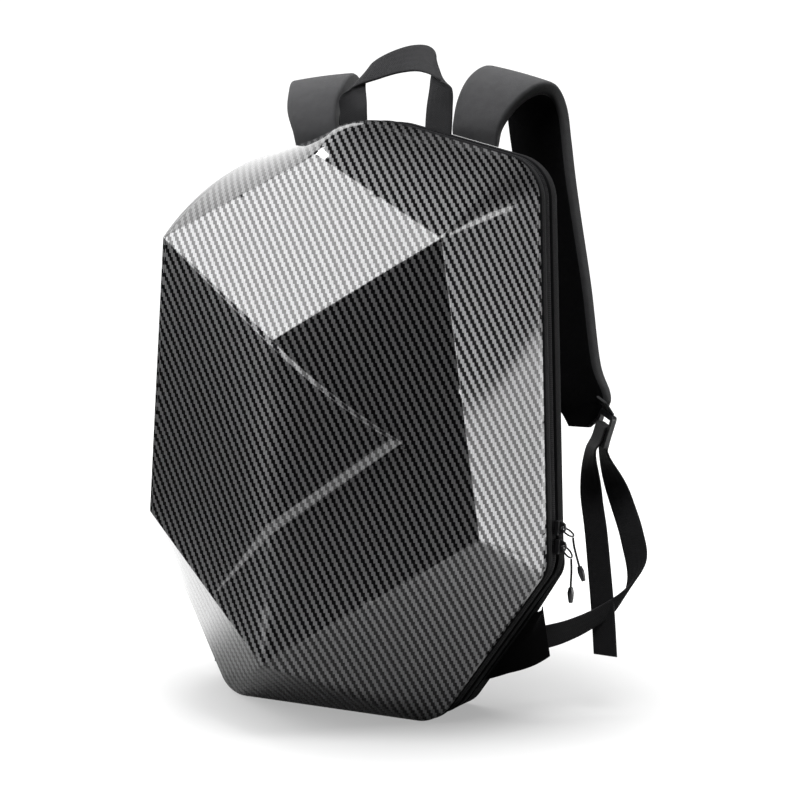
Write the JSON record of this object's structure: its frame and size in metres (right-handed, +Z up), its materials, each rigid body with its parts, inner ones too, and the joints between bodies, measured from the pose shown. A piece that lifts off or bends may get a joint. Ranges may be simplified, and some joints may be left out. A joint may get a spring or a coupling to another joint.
{
  "type": "hard shell backpack",
  "caption": "Backpack with a faceted rigid front shell, a zipped fabric rim, a padded back, padded shoulder straps and a grab handle.",
  "frame": {"origin": "centre of the footprint at the bottom of the bag, on the surface it stands on", "axes": "+Z up, -Y towards the faceted front shell, +Y towards the wearer's back, +X to the right as seen from the front"},
  "size_m": [0.4502, 0.3038, 0.5463],
  "materials": {
    "weave": "clear-coated twill weave",
    "binding": "piping",
    "fabric": "plain woven",
    "zip": "ribbed coil",
    "padding": "fine woven over foam",
    "webbing": "ribbed webbing",
    "plastic": "satin"
  },
  "bodies": {
    "root": {"shell": "weave", "rim_binding": "binding", "gusset_front": "fabric", "zipper": "zip", "gusset_back": "fabric", "back_panel": "fabric", "back_pad": "padding", "grab_handle": "webbing", "shoulder_strap_right": "padding", "strap_tab_right": "webbing", "adjuster_right": "plastic", "webbing_right": "webbing", "wing_right": "fabric", "shoulder_strap_left": "padding", "strap_tab_left": "webbing", "adjuster_left": "plastic", "webbing_left": "webbing", "wing_left": "fabric", "zip_slider_1": "plastic", "pull_ring_1": "plastic", "pull_cord_1": "webbing", "pull_tip_1": "plastic", "zip_slider_2": "plastic", "pull_ring_2": "plastic", "pull_cord_2": "webbing", "pull_tip_2": "plastic"}
  },
  "joints": []
}
